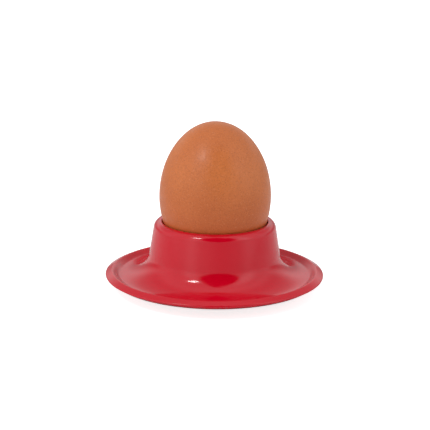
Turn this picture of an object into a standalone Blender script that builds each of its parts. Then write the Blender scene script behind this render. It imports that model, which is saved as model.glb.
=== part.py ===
"""Egg cup with a saucer brim, and the boiled hen's egg that stands in it.

Metres, +Z up. The origin is on the cup's axis, on the plane that the foot ring stands on.
The cup is one moulding: a double wall, joined at the lip and hollow from below, whose collar
flares into the brim. The egg is built from its shell inwards. It stands on its blunt end.
"""

import math

import bmesh
import bpy

MM = 0.001

# The cup
BRIM_DIAMETER = 85.0 * MM
CUP_HEIGHT = 26.7 * MM
LIP_DIAMETER = 47.5 * MM  # across the collar's shoulder, just under the lip
MOUTH_DIAMETER = 40.8 * MM
LIP_INNER_RADIUS = 0.6 * MM
COLLAR_TAPER = math.radians(9.2)
FLARE_REACH = 11.5 * MM  # radii of the elliptical flare from the collar down into the brim's dish
FLARE_RISE = 9.0 * MM
DISH_HEIGHT = 5.5 * MM  # height of the dish's lowest ring
CREST_HEIGHT = 7.1 * MM
CREST_INSET = 2.6 * MM  # from the brim's widest ring in to the crest round it
CREST_RADIUS = 0.8 * MM
EDGE_HEIGHT = 5.65 * MM  # height of the brim's widest ring
EDGE_RADIUS = 0.5 * MM
EDGE_LOWEST_ANGLE = -40  # degrees below that ring at which its rounding ends
EDGE_UNDERCUT = 2.5 * MM  # how far the edge slopes in below that ring
EDGE_BOTTOM = 3.9 * MM
WALL = 2.5 * MM
DISH_WALL = 1.7 * MM
BOWL_DRAFT = math.radians(2.0)
BOWL_WALL_DEPTH = 11.0 * MM  # from the lip down to where the bowl starts to round
BOWL_FLOOR = 3.6 * MM  # height of the bowl's lowest point inside
HOLLOW_TOP = 13.0 * MM
FOOT_DIAMETER = 51.2 * MM
FOOT_WIDTH = 2.3 * MM
FOOT_EDGE_RADIUS = 0.5 * MM

# The egg
EGG_LENGTH = 56.4 * MM
EGG_WIDTH = 43.2 * MM
EGG_SHIFT = 0.82 * MM  # the outline's asymmetry: how far its widest part lies from mid-length
SHELL = 0.38 * MM
MEMBRANE = 0.2 * MM
LAYER_GAP = 0.12 * MM  # between layers that lie against each other
SEAT_CLEARANCE = 0.3 * MM  # between pieces that only rest on each other
PRICK_DIAMETER = 1.0 * MM
AIR_CELL_EDGE = math.radians(-56)  # parametric angle at which the contents leave the shell
AIR_CELL_DISH_RADIUS = 60.0 * MM
INNER_THIN_WHITE = 1.0 * MM
OUTER_THIN_SHARE = 0.4  # of the room for white at the egg's waist, outside the inner thin white
THIN_WHITE_SPAN = math.radians(62)  # parametric angle at which its groove runs out
THIN_WHITE_END_SHARE = 0.3  # of the groove's full depth, where the band ends
YOLK_DIAMETER = 30.0 * MM
YOLK_DROP = 0.5 * MM  # how far the yolk lies below mid-length
CHALAZA_DIAMETER = 1.9 * MM
CHALAZA_TIP_DIAMETER = 1.0 * MM
CHALAZA_FLATTENING = 0.55
CHALAZA_TURNS = 2.5
LATEBRA_DIAMETER = 5.0 * MM
LATEBRA_NECK_DIAMETER = 1.2 * MM
DISC_DIAMETER = 3.4 * MM
DISC_THICKNESS = 0.5 * MM

# Facets
CUP_SEGMENTS = 48
EGG_SEGMENTS = 28
BLUNT_STEPS = 4  # along an egg outline, from the blunt pole to the air cell's edge
SIDE_STEPS = 12  # from there to the pointed pole
DISH_STEPS = 3
LOWER_HALF_STEPS = 180  # in the search for the egg's seat
AXIS_SNAP = 1e-7
SHARP_ANGLE = math.radians(40)


# ---------------------------------------------------------------- materials and meshes


def material(name, colour, roughness):
    """A Principled material of one colour."""
    made = bpy.data.materials.new(name)
    made.use_nodes = True
    shader = made.node_tree.nodes["Principled BSDF"]
    shader.inputs["Base Color"].default_value = (*colour, 1.0)
    shader.inputs["Roughness"].default_value = roughness
    shader.inputs["Metallic"].default_value = 0.0
    made.diffuse_color = (*colour, 1.0)
    return made


def add_object(name, bm, finish, parent=None, location=(0, 0, 0), rotation=(0, 0, 0)):
    """Turns a bmesh into a named, smooth-shaded object."""
    bmesh.ops.recalc_face_normals(bm, faces=bm.faces)
    mesh = bpy.data.meshes.new(name)
    bm.to_mesh(mesh)
    bm.free()
    mesh.materials.append(finish)
    mesh.shade_smooth()
    mesh.set_sharp_from_angle(angle=SHARP_ANGLE)
    made = bpy.data.objects.new(name, mesh)
    bpy.context.scene.collection.objects.link(made)
    made.parent = parent
    made.location = location
    made.rotation_euler = rotation
    return made


def turned(profile, segments, closed=False):
    """A bmesh turned about Z from (radius, height) points, closed or running from axis to axis."""
    bm = bmesh.new()
    verts = [bm.verts.new((0.0 if r < AXIS_SNAP else r, 0.0, z)) for r, z in profile]
    pairs = list(zip(verts, verts[1:]))
    if closed:
        pairs.append((verts[-1], verts[0]))
    edges = [bm.edges.new(pair) for pair in pairs]
    bmesh.ops.spin(
        bm,
        geom=verts + edges,
        cent=(0, 0, 0),
        axis=(0, 0, 1),
        angle=math.tau,
        steps=segments,
        use_merge=True,
    )
    bmesh.ops.remove_doubles(bm, verts=bm.verts, dist=AXIS_SNAP)
    bmesh.ops.dissolve_degenerate(bm, edges=bm.edges, dist=AXIS_SNAP)
    return bm


def arc(centre, radii, start, end, steps):
    """Points on an ellipse arc, from angle start to end in degrees, ends included."""
    points = []
    for i in range(steps + 1):
        angle = math.radians(start + (end - start) * i / steps)
        points.append((centre[0] + radii[0] * math.cos(angle), centre[1] + radii[1] * math.sin(angle)))
    return points


# ---------------------------------------------------------------- the cup


def lip_centres():
    """Centres of the lip's outer and inner rounding, which meet at its crest."""
    mouth = MOUTH_DIAMETER / 2
    crest = mouth + LIP_INNER_RADIUS
    outer_radius = LIP_DIAMETER / 2 - crest
    return (crest, CUP_HEIGHT - outer_radius), (crest, CUP_HEIGHT - LIP_INNER_RADIUS), outer_radius


def bowl_profile(steps=8):
    """The bowl's inside, from its lowest point up to the lip's inner rounding."""
    top = CUP_HEIGHT - LIP_INNER_RADIUS
    round_top = CUP_HEIGHT - BOWL_WALL_DEPTH
    radius = MOUTH_DIAMETER / 2 - (top - round_top) * math.tan(BOWL_DRAFT)
    return arc((0, round_top), (radius, round_top - BOWL_FLOOR), -90, 0, steps)


def collar_profile():
    """From the mouth over the lip and down the collar and its flare to the brim's upper face."""
    outer, inner, outer_radius = lip_centres()
    taper = math.degrees(COLLAR_TAPER)
    lip = arc(inner, (LIP_INNER_RADIUS, LIP_INNER_RADIUS), 180, 90, 2)
    lip += arc(outer, (outer_radius, outer_radius), 90, taper, 5)[1:]
    wall_r, wall_z = lip[-1]
    begin = math.atan(FLARE_RISE / FLARE_REACH * math.tan(COLLAR_TAPER))
    centre_z = DISH_HEIGHT + FLARE_RISE
    tangent_z = centre_z - FLARE_RISE * math.sin(begin)
    tangent_r = wall_r + (wall_z - tangent_z) * math.tan(COLLAR_TAPER)
    centre = (tangent_r + FLARE_REACH * math.cos(begin), centre_z)
    flare = arc(centre, (FLARE_REACH, FLARE_RISE), 180 + math.degrees(begin), 270, 9)
    return lip + flare, centre


def edge_profile(dish_r):
    """From the dish's lowest ring up over the crest, out to the widest ring, and under to the underside."""
    rim = BRIM_DIAMETER / 2
    crest_r = rim - CREST_INSET
    rise = []
    for i in range(1, 5):
        share = i / 5
        blend = share * share * (3 - 2 * share)
        rise.append((dish_r + share * (crest_r - dish_r), DISH_HEIGHT + blend * (CREST_HEIGHT - DISH_HEIGHT)))
    edge_centre = (rim - EDGE_RADIUS, EDGE_HEIGHT)
    crest_centre = (crest_r, CREST_HEIGHT - CREST_RADIUS)
    across, down = edge_centre[0] - crest_centre[0], crest_centre[1] - edge_centre[1]
    span = math.hypot(across, down)
    slope = math.degrees(math.atan2(down, across) + math.asin((CREST_RADIUS - EDGE_RADIUS) / span))
    crest = arc(crest_centre, (CREST_RADIUS, CREST_RADIUS), 90, 90 - slope, 2)
    edge = arc(edge_centre, (EDGE_RADIUS, EDGE_RADIUS), 90 - slope, EDGE_LOWEST_ANGLE, 4)
    return rise + crest + edge + [(rim - EDGE_UNDERCUT, EDGE_BOTTOM)]


def underside_profile(flare_centre):
    """From the brim's underside round the foot ring and the hollow to the bowl's underside."""
    foot_outer = FOOT_DIAMETER / 2
    foot_inner = foot_outer - FOOT_WIDTH
    under_radii = (FLARE_REACH + WALL, FLARE_RISE + DISH_WALL)
    reach = math.degrees(math.acos((flare_centre[0] - foot_outer) / under_radii[0]))
    under_flare = arc(flare_centre, under_radii, 270, 180 + reach, 5)
    edge = (FOOT_EDGE_RADIUS, FOOT_EDGE_RADIUS)
    foot = arc((foot_outer - FOOT_EDGE_RADIUS, FOOT_EDGE_RADIUS), edge, 0, -90, 2)
    foot += arc((foot_inner + FOOT_EDGE_RADIUS, FOOT_EDGE_RADIUS), edge, 270, 180, 2)
    bowl = bowl_profile()
    centre_z = bowl[-1][1]
    radii = (bowl[-1][0] + WALL, centre_z - BOWL_FLOOR + WALL)
    meet = math.asin((HOLLOW_TOP - centre_z) / radii[1])
    hollow_inner = radii[0] * math.cos(meet)
    hollow_outer = foot_inner - HOLLOW_TOP * math.tan(BOWL_DRAFT) / 2
    half_gap = (hollow_outer - hollow_inner) / 2
    middle = (hollow_inner + half_gap, HOLLOW_TOP)
    hollow = arc(middle, (half_gap, half_gap), 0, 180, 4)
    bowl_under = arc((0, centre_z), radii, math.degrees(meet), -90, 6)[1:]
    return under_flare + foot + hollow + bowl_under


def make_cup(finish):
    collar, flare_centre = collar_profile()
    profile = bowl_profile() + collar + edge_profile(flare_centre[0]) + underside_profile(flare_centre)
    return add_object("egg_cup", turned(profile, CUP_SEGMENTS), finish)


# ---------------------------------------------------------------- the egg's outlines


def egg_point(angle, inset=0.0):
    """Point of the egg's outline at a parametric angle (-90 degrees is the blunt pole), moved inwards."""

    def raw(at):
        height = EGG_LENGTH / 2 * math.sin(at)
        spread = math.sqrt(EGG_LENGTH**2 + 8 * EGG_SHIFT * height + 4 * EGG_SHIFT**2)
        return EGG_WIDTH / 2 * EGG_LENGTH * math.cos(at) / spread, height

    step = 1e-4
    (r0, z0), (r1, z1) = raw(angle - step), raw(angle + step)
    along_r, along_z = r1 - r0, z1 - z0
    length = math.hypot(along_r, along_z)
    r, z = raw(angle)
    return r - inset * along_z / length, z + inset * along_r / length


def side_angles():
    """The angles that every layer shares, so that their facets lie parallel."""
    span = math.pi / 2 - AIR_CELL_EDGE
    return [AIR_CELL_EDGE + span * i / SIDE_STEPS for i in range(SIDE_STEPS + 1)]


def angle_at_radius(radius, inset):
    """The angle near the blunt pole at which the inset outline has this radius."""
    low, high = -math.pi / 2, 0.0
    for _ in range(60):
        middle = (low + high) / 2
        if egg_point(middle, inset)[0] < radius:
            low = middle
        else:
            high = middle
    return high


def shell_outline(inset):
    """The inset outline from the edge of the pricked hole up to the pointed pole."""
    start = angle_at_radius(PRICK_DIAMETER / 2, inset)
    blunt = [start + (AIR_CELL_EDGE - start) * i / BLUNT_STEPS for i in range(BLUNT_STEPS)]
    return [egg_point(a, inset) for a in blunt + side_angles()]


def dish_height(radius, inset):
    """Height of the air cell's dish, and of the layers above it, at this distance from the axis."""
    edge_r, edge_z = egg_point(AIR_CELL_EDGE, inset)
    return edge_z - (edge_r**2 - radius**2) / (2 * AIR_CELL_DISH_RADIUS)


def contents_outline(inset, hole_radius, depth_at=None):
    """The contents' outline from a hole in the air cell's dish up to the pointed pole."""
    edge_r = egg_point(AIR_CELL_EDGE, inset)[0]
    points = []
    for i in range(DISH_STEPS):
        r = hole_radius + (edge_r - hole_radius) * i / DISH_STEPS
        points.append((r, dish_height(r, inset)))
    return points + [egg_point(a, inset + (depth_at(a) if depth_at else 0.0)) for a in side_angles()]


def groove_share(angle):
    """The groove's depth at this angle as a share of its depth at the waist."""
    if abs(angle) >= THIN_WHITE_SPAN:
        return 0.0
    return math.cos(math.pi / 2 * angle / THIN_WHITE_SPAN) ** 2


def groove_depth(angle):
    """Depth of the thick white's groove, which the outer thin white fills."""
    room = EGG_WIDTH / 2 - inset_of_white() - white_cavity_radius()
    return OUTER_THIN_SHARE * room * groove_share(angle)


def inset_of_membrane():
    return SHELL + LAYER_GAP


def inset_of_inner_membrane():
    return inset_of_membrane() + MEMBRANE + LAYER_GAP


def inset_of_white():
    return inset_of_inner_membrane() + MEMBRANE + LAYER_GAP


def white_cavity_radius():
    return YOLK_DIAMETER / 2 + 2 * SEAT_CLEARANCE + INNER_THIN_WHITE


def chalaza_channel_radius():
    return CHALAZA_DIAMETER / 2 + SEAT_CLEARANCE


def seat_height():
    """Height of the egg's mid-length when it stands in the mouth, clear of the lip's inner rounding."""
    _, (lip_r, lip_z), _ = lip_centres()
    wanted = LIP_INNER_RADIUS + SEAT_CLEARANCE

    def gap(height):
        """Distance from the egg's lower half out to the lip rounding's centre, negative inside the egg."""
        found = []
        for i in range(LOWER_HALF_STEPS + 1):
            angle = math.pi / 2 * (i / LOWER_HALF_STEPS - 1)
            r, z = egg_point(angle)
            inner_r, inner_z = egg_point(angle, MEMBRANE)
            side = (lip_r - r) * (r - inner_r) + (lip_z - height - z) * (z - inner_z)
            found.append((math.hypot(r - lip_r, z + height - lip_z), side))
        nearest, side = min(found)
        return math.copysign(nearest, side)

    low, high = CUP_HEIGHT, CUP_HEIGHT + EGG_LENGTH
    for _ in range(50):
        middle = (low + high) / 2
        if gap(middle) < wanted:
            low = middle
        else:
            high = middle
    return high


# ---------------------------------------------------------------- the egg's pieces


def make_shell_layer(name, inset, thickness, finish, egg):
    """A layer that lines the whole egg, pricked through at the blunt pole."""
    profile = shell_outline(inset)[::-1] + shell_outline(inset + thickness)
    return add_object(name, turned(profile, EGG_SEGMENTS), finish, egg)


def make_inner_membrane(finish, egg):
    """The membrane round the contents, which leaves the shell at the air cell."""
    hole = PRICK_DIAMETER / 2
    inset = inset_of_inner_membrane()
    outside = contents_outline(inset, hole)
    inside = contents_outline(inset + MEMBRANE, hole)
    return add_object("inner_shell_membrane", turned(outside[::-1] + inside, EGG_SEGMENTS), finish, egg)


def make_outer_thin_white(finish, egg):
    """A band round the egg's waist, as thick as the thick white's groove leaves room for."""
    inset = inset_of_white()
    angles = [a for a in side_angles() if groove_share(a) >= THIN_WHITE_END_SHARE]
    outside = [egg_point(a, inset) for a in angles]
    inside = [egg_point(a, inset + groove_depth(a) - LAYER_GAP) for a in angles]
    return add_object("outer_thin_white", turned(outside + inside[::-1], EGG_SEGMENTS, True), finish, egg)


def make_thick_white(finish, egg):
    """The firm white: a groove outside for the thin white, a round room inside, a channel at each pole."""
    channel = chalaza_channel_radius()
    outline = contents_outline(inset_of_white(), channel, groove_depth)
    top_r, top_z = outline[-1]
    outside = [p for p in outline[:-1] if p[0] > channel + LAYER_GAP or p[1] < 0]
    slope_r, slope_z = outside[-1]
    outside.append((channel, slope_z + (top_z - slope_z) * (slope_r - channel) / (slope_r - top_r)))
    room = white_cavity_radius()
    reach = math.degrees(math.acos(channel / room))
    inside = arc((0, -YOLK_DROP), (room, room), reach, -reach, 10)
    return add_object("thick_white", turned(outside + inside, EGG_SEGMENTS, True), finish, egg)


def make_inner_thin_white(finish, egg):
    """The thin white round the yolk, open at both poles for the chalazae."""
    channel = chalaza_channel_radius()
    outer = YOLK_DIAMETER / 2 + SEAT_CLEARANCE + INNER_THIN_WHITE
    inner = YOLK_DIAMETER / 2 + SEAT_CLEARANCE
    outer_end = math.degrees(math.acos(channel / outer))
    inner_end = math.degrees(math.acos(channel / inner))
    outside = arc((0, 0), (outer, outer), -outer_end, outer_end, 10)
    inside = arc((0, 0), (inner, inner), inner_end, -inner_end, 10)
    bm = turned(outside + inside, EGG_SEGMENTS, True)
    return add_object("inner_thin_white", bm, finish, egg, (0, 0, -YOLK_DROP))


def make_chalaza(name, end_height, turn_sign, finish, egg):
    """A twisted cord from the yolk's pole to the white's end; end_height is negative at the blunt end."""
    up = math.copysign(1.0, end_height)
    start = -YOLK_DROP + up * (YOLK_DIAMETER / 2 + SEAT_CLEARANCE)
    steps, sides = 18, 8
    bm = bmesh.new()
    rings = []
    for i in range(steps + 1):
        share = i / steps
        height = start + (end_height - start) * share
        radius = (CHALAZA_DIAMETER + (CHALAZA_TIP_DIAMETER - CHALAZA_DIAMETER) * share) / 2
        twist = turn_sign * CHALAZA_TURNS * math.tau * share
        ring = []
        for k in range(sides):
            angle = math.tau * k / sides
            x, y = radius * math.cos(angle), radius * CHALAZA_FLATTENING * math.sin(angle)
            turned_x = x * math.cos(twist) - y * math.sin(twist)
            turned_y = x * math.sin(twist) + y * math.cos(twist)
            ring.append(bm.verts.new((turned_x, turned_y, height)))
        rings.append(ring)
    for lower, upper in zip(rings, rings[1:]):
        for k in range(sides):
            n = (k + 1) % sides
            bm.faces.new((lower[k], lower[n], upper[n]))
            bm.faces.new((lower[k], upper[n], upper[k]))
    bm.faces.new(rings[0])
    bm.faces.new(rings[-1])
    return add_object(name, bm, finish, egg)


def make_yolk(finish, egg, location, rotation):
    """The yolk: a ball with a room for the latebra, its neck, and a seat for the germinal disc."""
    radius = YOLK_DIAMETER / 2
    seat_r = DISC_DIAMETER / 2 + SEAT_CLEARANCE
    seat_z = radius - DISC_THICKNESS - 2 * SEAT_CLEARANCE
    neck_r = LATEBRA_NECK_DIAMETER / 2 + SEAT_CLEARANCE
    room = LATEBRA_DIAMETER / 2 + SEAT_CLEARANCE
    seat_angle = math.degrees(math.acos(seat_r / radius))
    neck_angle = math.degrees(math.acos(neck_r / room))
    outside = arc((0, 0), (radius, radius), -90, seat_angle, 12)
    inside = [(seat_r, seat_z), (neck_r, seat_z)] + arc((0, 0), (room, room), neck_angle, -90, 6)
    return add_object("yolk", turned(outside + inside, EGG_SEGMENTS), finish, egg, location, rotation)


def make_latebra(finish, egg, location, rotation):
    """The pale core of the yolk and the neck that leads up to the germinal disc."""
    radius = LATEBRA_DIAMETER / 2
    neck_r = LATEBRA_NECK_DIAMETER / 2
    top = YOLK_DIAMETER / 2 - DISC_THICKNESS - 3 * SEAT_CLEARANCE
    reach = math.degrees(math.acos(neck_r / radius))
    profile = arc((0, 0), (radius, radius), -90, reach, 7) + [(neck_r, top), (0, top)]
    return add_object("latebra", turned(profile, EGG_SEGMENTS // 2), finish, egg, location, rotation)


def make_germinal_disc(finish, egg, location, rotation):
    """The small pale lens in the yolk's surface."""
    middle = YOLK_DIAMETER / 2 - DISC_THICKNESS / 2 - SEAT_CLEARANCE
    profile = arc((0, middle), (DISC_DIAMETER / 2, DISC_THICKNESS / 2), -90, 90, 8)
    return add_object("germinal_disc", turned(profile, EGG_SEGMENTS // 2), finish, egg, location, rotation)


def make_egg():
    """Every piece of the egg, under one empty at its mid-length on the axis that it lifts along."""
    egg = bpy.data.objects.new("egg_lift_axis", None)
    bpy.context.scene.collection.objects.link(egg)
    egg.location = (0, 0, seat_height())
    membrane = material("egg_membrane", (0.86, 0.83, 0.76), 0.5)
    white = material("egg_white", (0.90, 0.89, 0.84), 0.35)
    cord = material("chalaza_white", (0.93, 0.92, 0.88), 0.4)
    pale = material("pale_yolk", (0.93, 0.80, 0.42), 0.5)
    shell = material("brown_shell", (0.55, 0.20, 0.08), 0.55)
    make_shell_layer("eggshell", 0.0, SHELL, shell, egg)
    make_shell_layer("outer_shell_membrane", inset_of_membrane(), MEMBRANE, membrane, egg)
    make_inner_membrane(membrane, egg)
    make_outer_thin_white(white, egg)
    make_thick_white(white, egg)
    make_inner_thin_white(white, egg)
    inset = inset_of_white() + SEAT_CLEARANCE
    make_chalaza("chalaza_pointed_end", EGG_LENGTH / 2 - inset, 1, cord, egg)
    make_chalaza("chalaza_blunt_end", dish_height(0.0, inset), -1, cord, egg)
    yolk_place = (0, 0, -YOLK_DROP)
    disc_sideways = (0, math.pi / 2, 0)
    make_yolk(material("yolk_orange", (0.85, 0.42, 0.04), 0.45), egg, yolk_place, disc_sideways)
    make_latebra(pale, egg, yolk_place, disc_sideways)
    make_germinal_disc(pale, egg, yolk_place, disc_sideways)


def main():
    for old in list(bpy.data.objects):
        bpy.data.objects.remove(old)
    make_cup(material("red_melamine", (0.45, 0.0, 0.02), 0.15))
    make_egg()


main()
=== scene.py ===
"""The looks of the red egg cup and of the brown egg that stands in it.

Metres, +Z up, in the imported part's frame. The camera looks along +Y, so the front is at -Y.
"""

import math

import bmesh
import bpy
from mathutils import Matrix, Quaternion, Vector, noise


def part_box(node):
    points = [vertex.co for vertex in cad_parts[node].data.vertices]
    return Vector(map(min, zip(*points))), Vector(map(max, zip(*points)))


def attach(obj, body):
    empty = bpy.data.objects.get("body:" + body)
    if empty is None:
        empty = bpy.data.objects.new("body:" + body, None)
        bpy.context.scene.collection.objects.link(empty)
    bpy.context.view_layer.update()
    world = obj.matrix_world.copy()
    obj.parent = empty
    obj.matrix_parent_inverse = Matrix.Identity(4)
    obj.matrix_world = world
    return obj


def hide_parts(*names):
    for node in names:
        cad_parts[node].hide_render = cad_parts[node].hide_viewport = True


MM = 0.001
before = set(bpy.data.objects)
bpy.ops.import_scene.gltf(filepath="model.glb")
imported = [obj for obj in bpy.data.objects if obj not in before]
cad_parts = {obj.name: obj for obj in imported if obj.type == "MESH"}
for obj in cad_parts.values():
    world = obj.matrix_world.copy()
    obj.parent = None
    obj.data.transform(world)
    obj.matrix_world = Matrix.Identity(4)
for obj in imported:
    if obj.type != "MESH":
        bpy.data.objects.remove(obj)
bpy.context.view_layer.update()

_, CUP_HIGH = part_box("egg_cup")
EGG_LOW, EGG_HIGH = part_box("eggshell")

# The cup, in the part's own proportions
BRIM_RADIUS = CUP_HIGH.x
CUP_HEIGHT = CUP_HIGH.z
LIP_RADIUS = 23.75 * MM
MOUTH_RADIUS = 20.4 * MM
LIP_INNER_RADIUS = 0.6 * MM
COLLAR_TAPER = math.radians(9.2)
FLARE_REACH = 11.5 * MM
FLARE_RISE = 9.0 * MM
DISH_HEIGHT = 5.5 * MM
CREST_HEIGHT = 7.1 * MM
CREST_INSET = 2.6 * MM
CREST_RADIUS = 0.8 * MM
EDGE_HEIGHT = 5.65 * MM
EDGE_RADIUS = 0.5 * MM
EDGE_UNDERCUT = 2.5 * MM
EDGE_BOTTOM = 3.9 * MM
EDGE_LOWEST_ANGLE = -40.0  # degrees, where the edge's rounding ends under the widest ring
WALL = 2.5 * MM
DISH_WALL = 1.7 * MM
BOWL_DRAFT = math.radians(2.0)
BOWL_WALL_DEPTH = 11.0 * MM
BOWL_FLOOR = 3.6 * MM
HOLLOW_TOP = 13.0 * MM
FOOT_RADIUS = 25.6 * MM
FOOT_WIDTH = 2.3 * MM
FOOT_EDGE_RADIUS = 0.5 * MM

# The egg
EGG_LENGTH = EGG_HIGH.z - EGG_LOW.z
EGG_WIDTH = 43.2 * MM
EGG_SHIFT = 0.82 * MM
EGG_MIDDLE = (EGG_LOW.z + EGG_HIGH.z) / 2
SHELL = 0.38 * MM
MEMBRANE = 0.2 * MM
LAYER_GAP = 0.12 * MM
SEAT_CLEARANCE = 0.3 * MM
PRICK_RADIUS = 0.5 * MM
AIR_CELL_EDGE = math.radians(-56)
AIR_CELL_DISH_RADIUS = 60.0 * MM
INNER_THIN_WHITE = 1.0 * MM
OUTER_THIN_SHARE = 0.4
THIN_WHITE_SPAN = math.radians(62)
THIN_WHITE_END_SHARE = 0.3
YOLK_RADIUS = 15.0 * MM
YOLK_DROP = 0.5 * MM
CHALAZA_RADIUS = 0.95 * MM
CHALAZA_TIP_RADIUS = 0.5 * MM
CHALAZA_FLATTENING = 0.55
CHALAZA_TURNS = 2.5
CHALAZA_STRANDS = 6
STRAND_DEPTH = 0.06  # of the chalaza's radius
LATEBRA_RADIUS = 2.5 * MM
LATEBRA_NECK_RADIUS = 0.6 * MM
DISC_RADIUS = 1.7 * MM
DISC_THICKNESS = 0.5 * MM
MEMBRANE_INSET = SHELL + LAYER_GAP
INNER_MEMBRANE_INSET = MEMBRANE_INSET + MEMBRANE + LAYER_GAP
WHITE_INSET = INNER_MEMBRANE_INSET + MEMBRANE + LAYER_GAP
WHITE_CAVITY_RADIUS = YOLK_RADIUS + 2 * SEAT_CLEARANCE + INNER_THIN_WHITE
CHALAZA_CHANNEL = CHALAZA_RADIUS + SEAT_CLEARANCE

# The camera
CAMERA_DISTANCE = 485.6 * MM
CAMERA_ELEVATION = math.radians(14.6)
CAMERA_ROLL = math.radians(0.6)
CAMERA_TARGET = Vector((0, 0, 28.75 * MM))
CAMERA_LENS = 105.0

# Facets
CUP_SEGMENTS = 256
RISE_STEPS = 16
SHELL_SEGMENTS = 320
SHELL_STEPS = 240
SHELL_INNER_STEPS = 48
LAYER_SEGMENTS = 128
MEMBRANE_STEPS = 90
SIDE_STEPS = 72
DISH_STEPS = 16
BALL_STEPS = 64
CHALAZA_SIDES = 32
CHALAZA_STEPS = 120
AXIS_SNAP = 1e-7
CUP_SHARP_ANGLE = math.radians(35)
EGG_SHARP_ANGLE = math.radians(50)

# Unevenness, as pairs of amplitude and cells to the metre
SHELL_WAVES = ((0.05 * MM, 110.0), (0.008 * MM, 900.0))
YOLK_WAVES = ((0.05 * MM, 700.0), (0.03 * MM, 2000.0))

# The studio, in degrees, metres and watts
LAMP_AZIMUTH = -44.0
LAMP_ELEVATION = 51.0
LAMP_DISTANCE = 1.0
LAMP_SIZE = (0.25, 0.12)
LAMP_POWER = 1.9
FLOOR_HALF_SIZE = 3.0
FLOOR_LIFT = 0.8
TENT_LIGHT = 0.94
# Dark and bright shapes in the tent's front: centre and half size in azimuth and elevation, softness,
# and darkness, which is negative on a bright one
OPENING = ((9.5, 45.0), (37.0, 37.0), 0.12, 1.0)
SHADE = ((18.0, 2.0), (34.0, 12.0), 0.9, 0.42)
RIGHT_GLOW = ((61.0, 34.0), (13.0, 26.0), 0.8, -0.75)
LEFT_GLOW = ((-42.0, 22.0), (12.0, 20.0), 0.8, -0.6)
# Dimmer zones in the tent's back: from and to in elevation, and the share of light lost
BACK_SHADE = (16.0, 32.0, 0.45)
HORIZON_SHADE = (20.0, 4.0, 0.65)


# ---------------------------------------------------------------- meshes


def arc(centre, radii, start, end, steps):
    """Points on an ellipse arc, from angle start to end in degrees, ends included."""
    points = []
    for i in range(steps + 1):
        angle = math.radians(start + (end - start) * i / steps)
        points.append((centre[0] + radii[0] * math.cos(angle), centre[1] + radii[1] * math.sin(angle)))
    return points


def mesh_from(name, verts, faces):
    """A smooth-shaded mesh with its faces turned outwards."""
    mesh = bpy.data.meshes.new(name)
    mesh.from_pydata(verts, [], faces)
    bm = bmesh.new()
    bm.from_mesh(mesh)
    bmesh.ops.recalc_face_normals(bm, faces=bm.faces)
    bm.to_mesh(mesh)
    bm.free()
    mesh.shade_smooth()
    return mesh


def turned_mesh(name, profile, segments, closed=False):
    """A mesh turned about Z from (radius, height) points, with one vertex where it meets the axis."""
    verts, rings, faces = [], [], []
    for r, z in profile:
        if r < AXIS_SNAP:
            rings.append([len(verts)])
            verts.append((0.0, 0.0, z))
            continue
        rings.append(list(range(len(verts), len(verts) + segments)))
        for k in range(segments):
            angle = math.tau * k / segments
            verts.append((r * math.cos(angle), r * math.sin(angle), z))
    pairs = list(zip(rings, rings[1:]))
    if closed:
        pairs.append((rings[-1], rings[0]))
    for lower, upper in pairs:
        for k in range(segments):
            n = (k + 1) % segments
            corners = [lower[k % len(lower)], lower[n % len(lower)]]
            corners += [upper[n % len(upper)], upper[k % len(upper)]]
            faces.append(list(dict.fromkeys(corners)))
    return mesh_from(name, verts, faces)


def roughen(mesh, waves):
    """Moves each point towards the mesh's centre by noises, each by up to twice its amplitude."""
    for vert in mesh.vertices:
        away = vert.co.normalized()
        vert.co -= away * sum(size * (1.0 + noise.noise(vert.co * scale)) for size, scale in waves)


def add_piece(name, mesh, finish, node, body, location=(0, 0, 0), rotation=(0, 0, 0)):
    """A piece that stands for one CAD node and rides with its body."""
    piece = bpy.data.objects.new(name, mesh)
    bpy.context.scene.collection.objects.link(piece)
    piece.location = location
    piece.rotation_euler = rotation
    mesh.materials.append(finish)
    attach(piece, body)
    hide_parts(node)


# ---------------------------------------------------------------- materials


def add_math(tree, operation, *values):
    """A Math node on sockets and numbers."""
    node = tree.nodes.new("ShaderNodeMath")
    node.operation = operation
    for socket, value in zip(node.inputs, values):
        if isinstance(value, (int, float)):
            socket.default_value = value
        else:
            tree.links.new(value, socket)
    return node.outputs[0]


def add_range(tree, value, low, high, to_low=0.0, to_high=1.0):
    """A smooth step from to_low to to_high as the value goes from low to high."""
    node = tree.nodes.new("ShaderNodeMapRange")
    node.interpolation_type = "SMOOTHSTEP"
    for name, number in zip(("From Min", "From Max", "To Min", "To Max"), (low, high, to_low, to_high)):
        node.inputs[name].default_value = number
    tree.links.new(value, node.inputs["Value"])
    return node.outputs["Result"]


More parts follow.
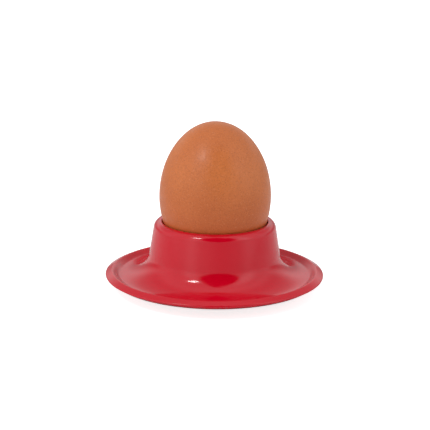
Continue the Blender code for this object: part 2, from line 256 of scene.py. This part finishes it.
class Nodes:
    """Short calls for building one material's node tree."""

    def __init__(self, name):
        self.material = bpy.data.materials.new(name)
        self.material.use_nodes = True
        self.tree = self.material.node_tree
        self.shader = self.tree.nodes["Principled BSDF"]
        self.place = self.tree.nodes.new("ShaderNodeTexCoord").outputs["Object"]

    def set(self, **values):
        """Sets the shader's own sockets, with _ for a space in a socket's name."""
        for name, value in values.items():
            self.shader.inputs[name.replace("_", " ")].default_value = value

    def link(self, source, target):
        self.tree.links.new(source, target)

    def height(self):
        """Height above the piece's own origin."""
        node = self.tree.nodes.new("ShaderNodeSeparateXYZ")
        self.link(self.place, node.inputs[0])
        return node.outputs["Z"]

    def noise(self, scale, detail=3.0, roughness=0.5, distortion=0.0):
        """A noise pattern with `scale` cells to the metre."""
        node = self.tree.nodes.new("ShaderNodeTexNoise")
        node.inputs["Scale"].default_value = scale
        node.inputs["Detail"].default_value = detail
        node.inputs["Roughness"].default_value = roughness
        node.inputs["Distortion"].default_value = distortion
        self.link(self.place, node.inputs["Vector"])
        return node.outputs["Fac"]

    def cells(self, scale):
        """Distance to the nearest of scattered points, `scale` of them to the metre."""
        node = self.tree.nodes.new("ShaderNodeTexVoronoi")
        node.inputs["Scale"].default_value = scale
        self.link(self.place, node.inputs["Vector"])
        return node.outputs["Distance"]

    def remap(self, *values):
        return add_range(self.tree, *values)

    def mix(self, share, first, second):
        """A colour between first and second, each a socket or a tuple."""
        node = self.tree.nodes.new("ShaderNodeMix")
        node.data_type = "RGBA"
        for socket, value in ((node.inputs[6], first), (node.inputs[7], second)):
            if isinstance(value, tuple):
                socket.default_value = (*value, 1.0)
            else:
                self.link(value, socket)
        self.link(share, node.inputs[0])
        return node.outputs[2]

    def math(self, operation, *values):
        return add_math(self.tree, operation, *values)

    def bump(self, height, distance, strength=1.0, under=None):
        node = self.tree.nodes.new("ShaderNodeBump")
        node.inputs["Distance"].default_value = distance
        node.inputs["Strength"].default_value = strength
        self.link(height, node.inputs["Height"])
        if under is not None:
            self.link(under, node.inputs["Normal"])
        return node.outputs["Normal"]

    def colour(self, socket):
        self.link(socket, self.shader.inputs["Base Color"])

    def roughness(self, socket):
        self.link(socket, self.shader.inputs["Roughness"])

    def normal(self, socket):
        self.link(socket, self.shader.inputs["Normal"])


def red_melamine():
    """Glossy moulded plastic: an even deep red, with a moulded skin's faint unevenness and fine scuffs."""
    m = Nodes("red_melamine")
    m.set(IOR=1.5, Metallic=0.0)
    tint = m.mix(m.noise(90.0), (0.64, 0.0, 0.014), (0.70, 0.001, 0.018))
    flecks = m.remap(m.cells(2600.0), 0.05, 0.12, 1.0, 0.0)
    m.colour(m.mix(m.math("MULTIPLY", flecks, 0.25), tint, (0.50, 0.0, 0.012)))
    skin = m.remap(m.noise(400.0, 4.0), 0.3, 0.7, 0.09, 0.14)
    scuffs = m.remap(m.noise(1800.0, 2.0, 0.5, 1.5), 0.62, 0.72, 0.0, 0.10)
    m.roughness(m.math("ADD", skin, scuffs))
    m.normal(m.bump(m.noise(150.0, 2.0), 0.006 * MM))
    return m.material


def brown_shell():
    """A brown hen's eggshell with speckle, pores and a waxy sheen, darkened by painted shade towards the
    blunt end, where it sits down in the cup.
    """
    m = Nodes("brown_shell")
    m.set(IOR=1.42, Metallic=0.0)
    broad = m.remap(m.noise(60.0, 3.0, 0.55), 0.3, 0.7)
    tint = m.mix(broad, (0.65, 0.173, 0.042), (0.72, 0.207, 0.056))
    # Painted shade: the shell's colour darkens towards its lower, blunt end, where the cup's lip shades it.
    blunt = m.remap(m.height(), 14.0 * MM, -14.0 * MM, 0.0, 0.55)
    tint = m.mix(blunt, tint, (0.58, 0.125, 0.032))
    mottle = m.remap(m.noise(1300.0, 4.0, 0.6), 0.40, 0.72)
    tint = m.mix(m.math("MULTIPLY", mottle, 0.45), tint, (0.52, 0.130, 0.036))
    pale = m.remap(m.noise(1900.0, 2.0, 0.5), 0.56, 0.70)
    tint = m.mix(m.math("MULTIPLY", pale, 0.30), tint, (0.78, 0.30, 0.13))
    pores = m.remap(m.cells(1700.0), 0.10, 0.34, 1.0, 0.0)
    tint = m.mix(m.math("MULTIPLY", pores, 0.50), tint, (0.36, 0.076, 0.020))
    m.colour(tint)
    m.roughness(m.remap(m.noise(500.0, 3.0), 0.3, 0.7, 0.33, 0.45))
    grain = m.bump(m.noise(1100.0, 3.0, 0.55), 0.05 * MM)
    m.normal(m.bump(m.math("SUBTRACT", 1.0, pores), 0.06 * MM, 0.7, grain))
    return m.material


def membrane_skin():
    """Shell membrane: a matte, off-white felt of fine fibres."""
    m = Nodes("membrane_skin")
    m.set(IOR=1.4, Roughness=0.6)
    fibres = m.remap(m.noise(1500.0, 5.0, 0.65, 2.5), 0.35, 0.65)
    m.colour(m.mix(fibres, (0.80, 0.76, 0.68), (0.90, 0.87, 0.80)))
    m.normal(m.bump(fibres, 0.03 * MM))
    return m.material


def cooked_white():
    """Set egg white: off-white and smooth, with a soft wet sheen and faint clouding."""
    m = Nodes("cooked_white")
    m.set(IOR=1.38, Subsurface_Weight=0.25, Subsurface_Scale=1.5 * MM)
    clouds = m.remap(m.noise(220.0, 4.0, 0.55, 0.6), 0.3, 0.7)
    m.colour(m.mix(clouds, (0.84, 0.83, 0.77), (0.91, 0.90, 0.86)))
    m.roughness(m.remap(m.noise(600.0, 3.0), 0.3, 0.7, 0.28, 0.40))
    m.normal(m.bump(m.noise(900.0, 3.0), 0.02 * MM))
    return m.material


def cord_white():
    """The chalazae's firm white, in dense twisted strands."""
    m = Nodes("cord_white")
    m.set(IOR=1.38, Roughness=0.4)
    strands = m.remap(m.noise(2200.0, 4.0, 0.6, 3.0), 0.35, 0.65)
    m.colour(m.mix(strands, (0.86, 0.85, 0.79), (0.94, 0.93, 0.90)))
    m.normal(m.bump(strands, 0.03 * MM))
    return m.material


def cooked_yolk(name, dark, light):
    """Set yolk: crumbly and matte, in grains about half a millimetre across."""
    m = Nodes(name)
    m.set(IOR=1.4)
    grains = m.remap(m.cells(1900.0), 0.05, 0.45)
    patches = m.remap(m.noise(260.0, 3.0), 0.3, 0.7)
    m.colour(m.mix(m.math("MULTIPLY", grains, patches), light, dark))
    m.roughness(m.remap(grains, 0.0, 1.0, 0.50, 0.70))
    m.normal(m.bump(m.math("SUBTRACT", 1.0, grains), 0.08 * MM))
    return m.material


# ---------------------------------------------------------------- the cup


def bowl_profile():
    """The bowl's inside, from its lowest point up to the lip's inner rounding."""
    top = CUP_HEIGHT - LIP_INNER_RADIUS
    round_top = CUP_HEIGHT - BOWL_WALL_DEPTH
    radius = MOUTH_RADIUS - (top - round_top) * math.tan(BOWL_DRAFT)
    return arc((0, round_top), (radius, round_top - BOWL_FLOOR), -90, 0, 28)


def collar_profile():
    """From the mouth over the lip and down the collar and its flare to the brim's upper face."""
    crest = MOUTH_RADIUS + LIP_INNER_RADIUS
    outer_radius = LIP_RADIUS - crest
    taper = math.degrees(COLLAR_TAPER)
    lip = arc((crest, CUP_HEIGHT - LIP_INNER_RADIUS), (LIP_INNER_RADIUS, LIP_INNER_RADIUS), 180, 90, 8)
    lip += arc((crest, CUP_HEIGHT - outer_radius), (outer_radius, outer_radius), 90, taper, 16)[1:]
    wall_r, wall_z = lip[-1]
    begin = math.atan(FLARE_RISE / FLARE_REACH * math.tan(COLLAR_TAPER))
    centre_z = DISH_HEIGHT + FLARE_RISE
    tangent_z = centre_z - FLARE_RISE * math.sin(begin)
    tangent_r = wall_r + (wall_z - tangent_z) * math.tan(COLLAR_TAPER)
    centre = (tangent_r + FLARE_REACH * math.cos(begin), centre_z)
    flare = arc(centre, (FLARE_REACH, FLARE_RISE), 180 + math.degrees(begin), 270, 40)
    return lip + flare, centre


def edge_profile(dish_r):
    """From the dish's lowest ring up over the crest, out to the widest ring, and under to the underside."""
    rim = BRIM_RADIUS
    crest_r = rim - CREST_INSET
    rise = []
    for i in range(1, RISE_STEPS):
        share = i / RISE_STEPS
        blend = share * share * (3 - 2 * share)
        rise.append((dish_r + share * (crest_r - dish_r), DISH_HEIGHT + blend * (CREST_HEIGHT - DISH_HEIGHT)))
    edge_centre = (rim - EDGE_RADIUS, EDGE_HEIGHT)
    crest_centre = (crest_r, CREST_HEIGHT - CREST_RADIUS)
    across, down = edge_centre[0] - crest_centre[0], crest_centre[1] - edge_centre[1]
    span = math.hypot(across, down)
    slope = math.degrees(math.atan2(down, across) + math.asin((CREST_RADIUS - EDGE_RADIUS) / span))
    crest = arc(crest_centre, (CREST_RADIUS, CREST_RADIUS), 90, 90 - slope, 8)
    edge = arc(edge_centre, (EDGE_RADIUS, EDGE_RADIUS), 90 - slope, EDGE_LOWEST_ANGLE, 10)
    return rise + crest + edge + [(rim - EDGE_UNDERCUT, EDGE_BOTTOM)]


def underside_profile(flare_centre):
    """From the brim's underside round the foot ring and the hollow to the bowl's underside."""
    foot_inner = FOOT_RADIUS - FOOT_WIDTH
    under_radii = (FLARE_REACH + WALL, FLARE_RISE + DISH_WALL)
    reach = math.degrees(math.acos((flare_centre[0] - FOOT_RADIUS) / under_radii[0]))
    under_flare = arc(flare_centre, under_radii, 270, 180 + reach, 16)
    edge = (FOOT_EDGE_RADIUS, FOOT_EDGE_RADIUS)
    foot = arc((FOOT_RADIUS - FOOT_EDGE_RADIUS, FOOT_EDGE_RADIUS), edge, 0, -90, 6)
    foot += arc((foot_inner + FOOT_EDGE_RADIUS, FOOT_EDGE_RADIUS), edge, 270, 180, 6)
    bowl = bowl_profile()
    centre_z = bowl[-1][1]
    radii = (bowl[-1][0] + WALL, centre_z - BOWL_FLOOR + WALL)
    meet = math.asin((HOLLOW_TOP - centre_z) / radii[1])
    hollow_inner = radii[0] * math.cos(meet)
    hollow_outer = foot_inner - HOLLOW_TOP * math.tan(BOWL_DRAFT) / 2
    half_gap = (hollow_outer - hollow_inner) / 2
    hollow = arc((hollow_inner + half_gap, HOLLOW_TOP), (half_gap, half_gap), 0, 180, 8)
    bowl_under = arc((0, centre_z), radii, math.degrees(meet), -90, 24)[1:]
    return under_flare + foot + hollow + bowl_under


def make_cup():
    collar, flare_centre = collar_profile()
    profile = bowl_profile() + collar + edge_profile(flare_centre[0]) + underside_profile(flare_centre)
    mesh = turned_mesh("red_cup", profile, CUP_SEGMENTS)
    mesh.set_sharp_from_angle(angle=CUP_SHARP_ANGLE)
    add_piece("red_cup", mesh, red_melamine(), "egg_cup", "cup")


# ---------------------------------------------------------------- the egg


def egg_point(angle, inset=0.0):
    """Point of the egg's outline at a parametric angle (-90 degrees is the blunt pole), moved inwards."""

    def raw(at):
        height = EGG_LENGTH / 2 * math.sin(at)
        spread = math.sqrt(EGG_LENGTH**2 + 8 * EGG_SHIFT * height + 4 * EGG_SHIFT**2)
        return EGG_WIDTH / 2 * EGG_LENGTH * math.cos(at) / spread, height

    step = 1e-4
    (r0, z0), (r1, z1) = raw(angle - step), raw(angle + step)
    along_r, along_z = r1 - r0, z1 - z0
    length = math.hypot(along_r, along_z)
    r, z = raw(angle)
    return r - inset * along_z / length, z + inset * along_r / length


def angle_at_radius(radius, inset):
    """The angle near the blunt pole at which the inset outline has this radius."""
    low, high = -math.pi / 2, 0.0
    for _ in range(60):
        middle = (low + high) / 2
        if egg_point(middle, inset)[0] < radius:
            low = middle
        else:
            high = middle
    return high


def side_angles():
    """The angles that every layer shares, from the air cell's edge to the pointed pole."""
    span = math.pi / 2 - AIR_CELL_EDGE
    return [AIR_CELL_EDGE + span * i / SIDE_STEPS for i in range(SIDE_STEPS + 1)]


def shell_outline(inset, steps):
    start = angle_at_radius(PRICK_RADIUS, inset)
    return [egg_point(start + (math.pi / 2 - start) * i / steps, inset) for i in range(steps + 1)]


def dish_height(radius, inset):
    """Height of the air cell's dish, and of the layers above it, at this distance from the axis."""
    edge_r, edge_z = egg_point(AIR_CELL_EDGE, inset)
    return edge_z - (edge_r**2 - radius**2) / (2 * AIR_CELL_DISH_RADIUS)


def contents_outline(inset, hole_radius, depth_at=None):
    """The contents' outline from a hole in the air cell's dish up to the pointed pole."""
    edge_r = egg_point(AIR_CELL_EDGE, inset)[0]
    points = []
    for i in range(DISH_STEPS):
        r = hole_radius + (edge_r - hole_radius) * i / DISH_STEPS
        points.append((r, dish_height(r, inset)))
    return points + [egg_point(a, inset + (depth_at(a) if depth_at else 0.0)) for a in side_angles()]


def groove_share(angle):
    """The groove's depth at this angle as a share of its depth at the waist."""
    if abs(angle) >= THIN_WHITE_SPAN:
        return 0.0
    return math.cos(math.pi / 2 * angle / THIN_WHITE_SPAN) ** 2


def groove_depth(angle):
    """Depth of the thick white's groove, which the outer thin white fills."""
    return OUTER_THIN_SHARE * (EGG_WIDTH / 2 - WHITE_INSET - WHITE_CAVITY_RADIUS) * groove_share(angle)


def make_shell():
    profile = shell_outline(0.0, SHELL_STEPS)[::-1] + shell_outline(SHELL, SHELL_INNER_STEPS)
    mesh = turned_mesh("shell", profile, SHELL_SEGMENTS)
    roughen(mesh, SHELL_WAVES)
    mesh.set_sharp_from_angle(angle=EGG_SHARP_ANGLE)
    add_piece("shell", mesh, brown_shell(), "eggshell", "egg", (0, 0, EGG_MIDDLE))


def add_layer(name, profile, finish, node, closed=False, drop=0.0, rotation=(0, 0, 0), waves=()):
    """One turned layer inside the egg, with its middle `drop` below the egg's."""
    mesh = turned_mesh(name, profile, LAYER_SEGMENTS, closed)
    roughen(mesh, waves)
    mesh.set_sharp_from_angle(angle=EGG_SHARP_ANGLE)
    add_piece(name, mesh, finish, node, "egg", (0, 0, EGG_MIDDLE - drop), rotation)


def make_membranes():
    skin = membrane_skin()
    outside = shell_outline(MEMBRANE_INSET, MEMBRANE_STEPS)
    inside = shell_outline(MEMBRANE_INSET + MEMBRANE, MEMBRANE_STEPS)
    add_layer("membrane_at_shell", outside[::-1] + inside, skin, "outer_shell_membrane")
    outside = contents_outline(INNER_MEMBRANE_INSET, PRICK_RADIUS)
    inside = contents_outline(INNER_MEMBRANE_INSET + MEMBRANE, PRICK_RADIUS)
    add_layer("membrane_at_white", outside[::-1] + inside, skin, "inner_shell_membrane")


def make_whites():
    white = cooked_white()
    angles = [a for a in side_angles() if groove_share(a) >= THIN_WHITE_END_SHARE]
    outside = [egg_point(a, WHITE_INSET) for a in angles]
    inside = [egg_point(a, WHITE_INSET + groove_depth(a) - LAYER_GAP) for a in angles]
    add_layer("thin_white_band", outside + inside[::-1], white, "outer_thin_white", True)

    outline = contents_outline(WHITE_INSET, CHALAZA_CHANNEL, groove_depth)
    # The outline stops at the chalaza's channel, with its last point on the channel's wall
    outside = [p for p in outline[:-1] if p[0] > CHALAZA_CHANNEL + LAYER_GAP or p[1] < 0]
    (slope_r, slope_z), (top_r, top_z) = outside[-1], outline[-1]
    share = (slope_r - CHALAZA_CHANNEL) / (slope_r - top_r)
    outside.append((CHALAZA_CHANNEL, slope_z + (top_z - slope_z) * share))
    reach = math.degrees(math.acos(CHALAZA_CHANNEL / WHITE_CAVITY_RADIUS))
    inside = arc((0, -YOLK_DROP), (WHITE_CAVITY_RADIUS, WHITE_CAVITY_RADIUS), reach, -reach, BALL_STEPS)
    add_layer("thick_white_body", outside + inside, white, "thick_white", True)

    inner = YOLK_RADIUS + SEAT_CLEARANCE
    outer = inner + INNER_THIN_WHITE
    outer_end = math.degrees(math.acos(CHALAZA_CHANNEL / outer))
    inner_end = math.degrees(math.acos(CHALAZA_CHANNEL / inner))
    profile = arc((0, 0), (outer, outer), -outer_end, outer_end, BALL_STEPS)
    profile += arc((0, 0), (inner, inner), inner_end, -inner_end, BALL_STEPS)
    add_layer("thin_white_at_yolk", profile, white, "inner_thin_white", True, YOLK_DROP)


def make_chalaza(name, node, end_height, turn_sign, finish):
    """A twisted cord from the yolk's pole to the white's end; end_height is negative at the blunt end."""
    up = math.copysign(1.0, end_height)
    start = -YOLK_DROP + up * (YOLK_RADIUS + SEAT_CLEARANCE)
    steps, sides = CHALAZA_STEPS, CHALAZA_SIDES
    verts, faces = [], []
    for i in range(steps + 1):
        share = i / steps
        height = start + (end_height - start) * share
        radius = CHALAZA_RADIUS + (CHALAZA_TIP_RADIUS - CHALAZA_RADIUS) * share
        twist = turn_sign * CHALAZA_TURNS * math.tau * share
        for k in range(sides):
            angle = math.tau * k / sides
            strand = radius * (1 - STRAND_DEPTH * (1 - math.cos(CHALAZA_STRANDS * angle)) / 2)
            x, y = strand * math.cos(angle), strand * CHALAZA_FLATTENING * math.sin(angle)
            twisted_x = x * math.cos(twist) - y * math.sin(twist)
            twisted_y = x * math.sin(twist) + y * math.cos(twist)
            verts.append((twisted_x, twisted_y, height))
    for i in range(steps):
        for k in range(sides):
            n = (k + 1) % sides
            faces.append((i * sides + k, i * sides + n, (i + 1) * sides + n, (i + 1) * sides + k))
    faces.append(tuple(range(sides)))
    faces.append(tuple(range(steps * sides, (steps + 1) * sides)))
    mesh = mesh_from(name, verts, faces)
    mesh.set_sharp_from_angle(angle=EGG_SHARP_ANGLE)
    add_piece(name, mesh, finish, node, "egg", (0, 0, EGG_MIDDLE))


def make_chalazae():
    finish = cord_white()
    inset = WHITE_INSET + SEAT_CLEARANCE
    make_chalaza("cord_pointed_end", "chalaza_pointed_end", EGG_LENGTH / 2 - inset, 1, finish)
    make_chalaza("cord_blunt_end", "chalaza_blunt_end", dish_height(0.0, inset), -1, finish)


def make_yolk():
    """The yolk with the latebra in its core and the germinal disc in its side."""
    orange = cooked_yolk("yolk_orange", (0.62, 0.24, 0.010), (0.86, 0.42, 0.03))
    pale = cooked_yolk("yolk_pale", (0.78, 0.55, 0.14), (0.88, 0.74, 0.36))
    sideways = (0, math.pi / 2, 0)

    seat_r = DISC_RADIUS + SEAT_CLEARANCE
    seat_z = YOLK_RADIUS - DISC_THICKNESS - 2 * SEAT_CLEARANCE
    neck_r = LATEBRA_NECK_RADIUS + SEAT_CLEARANCE
    room = LATEBRA_RADIUS + SEAT_CLEARANCE
    seat_angle = math.degrees(math.acos(seat_r / YOLK_RADIUS))
    neck_angle = math.degrees(math.acos(neck_r / room))
    ball = arc((0, 0), (YOLK_RADIUS, YOLK_RADIUS), -90, seat_angle, 110)
    hollow = [(seat_r, seat_z), (neck_r, seat_z)] + arc((0, 0), (room, room), neck_angle, -90, 32)
    add_layer("yolk_ball", ball + hollow, orange, "yolk", drop=YOLK_DROP, rotation=sideways, waves=YOLK_WAVES)

    top = YOLK_RADIUS - DISC_THICKNESS - 3 * SEAT_CLEARANCE
    reach = math.degrees(math.acos(LATEBRA_NECK_RADIUS / LATEBRA_RADIUS))
    core = arc((0, 0), (LATEBRA_RADIUS, LATEBRA_RADIUS), -90, reach, 40)
    core += [(LATEBRA_NECK_RADIUS, top), (0, top)]
    add_layer("yolk_core", core, pale, "latebra", drop=YOLK_DROP, rotation=sideways)

    middle = YOLK_RADIUS - DISC_THICKNESS / 2 - SEAT_CLEARANCE
    lens = arc((0, middle), (DISC_RADIUS, DISC_THICKNESS / 2), -90, 90, 24)
    add_layer("yolk_disc", lens, pale, "germinal_disc", drop=YOLK_DROP, rotation=sideways)


# ---------------------------------------------------------------- the studio


def light_after(tree, angles, centre, half_size, softness, darkness):
    """The share of light that an elliptical dark or bright shape leaves."""
    squares = []
    for angle, middle, half in zip(angles, centre, half_size):
        offset = add_math(tree, "DIVIDE", add_math(tree, "SUBTRACT", angle, middle), half)
        squares.append(add_math(tree, "MULTIPLY", offset, offset))
    distance = add_math(tree, "SQRT", add_math(tree, "ADD", *squares))
    return add_range(tree, distance, 1.0 - softness, 1.0 + softness, 1.0 - darkness)


def make_world():
    """A white tent with a dark opening at the front, round the camera, and a dimmer back."""
    world = bpy.data.worlds.new("studio")
    bpy.context.scene.world = world
    world.use_nodes = True
    tree = world.node_tree
    background = tree.nodes["Background"]
    background.inputs["Color"].default_value = (1, 1, 1, 1)
    place = tree.nodes.new("ShaderNodeTexCoord")
    split = tree.nodes.new("ShaderNodeSeparateXYZ")
    tree.links.new(place.outputs["Generated"], split.inputs[0])
    right, away, up = split.outputs

    front = add_math(tree, "MULTIPLY", away, -1.0)
    azimuth = add_math(tree, "DEGREES", add_math(tree, "ARCTAN2", right, front))
    elevation = add_math(tree, "DEGREES", add_math(tree, "ARCSINE", up))

    zones = []
    for start, end, share in (BACK_SHADE, HORIZON_SHADE):
        zones.append(add_range(tree, elevation, start, end, 0.0, share))
    lost = add_math(tree, "MULTIPLY", add_range(tree, away, 0.1, 0.5), add_math(tree, "ADD", *zones))
    light = add_math(tree, "SUBTRACT", 1.0, lost)
    for shape in (OPENING, SHADE, RIGHT_GLOW, LEFT_GLOW):
        light = add_math(tree, "MULTIPLY", light, light_after(tree, (azimuth, elevation), *shape))
    light = add_math(tree, "MULTIPLY", light, TENT_LIGHT)
    # The camera sees plain white beyond the floor
    seen = tree.nodes.new("ShaderNodeLightPath").outputs["Is Camera Ray"]
    tree.links.new(add_math(tree, "MAXIMUM", light, seen), background.inputs["Strength"])


def make_floor():
    """A plain white floor. The camera sees it lifted to white, and the object is lit by it as it is."""
    mesh = bpy.data.meshes.new("floor")
    far = FLOOR_HALF_SIZE
    corners = [(-far, -far, 0), (far, -far, 0), (far, far, 0), (-far, far, 0)]
    mesh.from_pydata(corners, [], [(0, 1, 2, 3)])
    floor = bpy.data.objects.new("floor", mesh)
    bpy.context.scene.collection.objects.link(floor)
    material = bpy.data.materials.new("white_floor")
    material.use_nodes = True
    tree = material.node_tree
    shader = tree.nodes["Principled BSDF"]
    shader.inputs["Base Color"].default_value = (0.85, 0.85, 0.85, 1)
    shader.inputs["Roughness"].default_value = 0.9
    shader.inputs["Specular IOR Level"].default_value = 0.0
    shader.inputs["Emission Color"].default_value = (1, 1, 1, 1)
    seen = tree.nodes.new("ShaderNodeLightPath").outputs["Is Camera Ray"]
    tree.links.new(add_math(tree, "MULTIPLY", seen, FLOOR_LIFT), shader.inputs["Emission Strength"])
    mesh.materials.append(material)


def make_lamp():
    """An elliptical lamp, wider than high, turned to the object."""
    data = bpy.data.lights.new("lamp", "AREA")
    data.shape = "ELLIPSE"
    data.size, data.size_y = LAMP_SIZE
    data.energy = LAMP_POWER
    lamp = bpy.data.objects.new("lamp", data)
    bpy.context.scene.collection.objects.link(lamp)
    a, e = math.radians(LAMP_AZIMUTH), math.radians(LAMP_ELEVATION)
    towards = Vector((math.sin(a) * math.cos(e), -math.cos(a) * math.cos(e), math.sin(e)))
    lamp.location = CAMERA_TARGET + towards * LAMP_DISTANCE
    lamp.rotation_euler = towards.to_track_quat("Z", "Y").to_euler()


def make_camera():
    data = bpy.data.cameras.new("camera")
    data.lens = CAMERA_LENS
    camera = bpy.data.objects.new("camera", data)
    bpy.context.scene.collection.objects.link(camera)
    back = Vector((0, -math.cos(CAMERA_ELEVATION), math.sin(CAMERA_ELEVATION)))
    camera.location = CAMERA_TARGET + back * CAMERA_DISTANCE
    camera.rotation_euler = (back.to_track_quat("Z", "Y") @ Quaternion((0, 0, 1), CAMERA_ROLL)).to_euler()
    data.clip_start = 0.01
    bpy.context.scene.camera = camera


make_world()
make_floor()
make_lamp()
make_camera()
make_cup()
make_shell()
make_membranes()
make_whites()
make_chalazae()
make_yolk()
bpy.context.scene.view_settings.view_transform = "Standard"
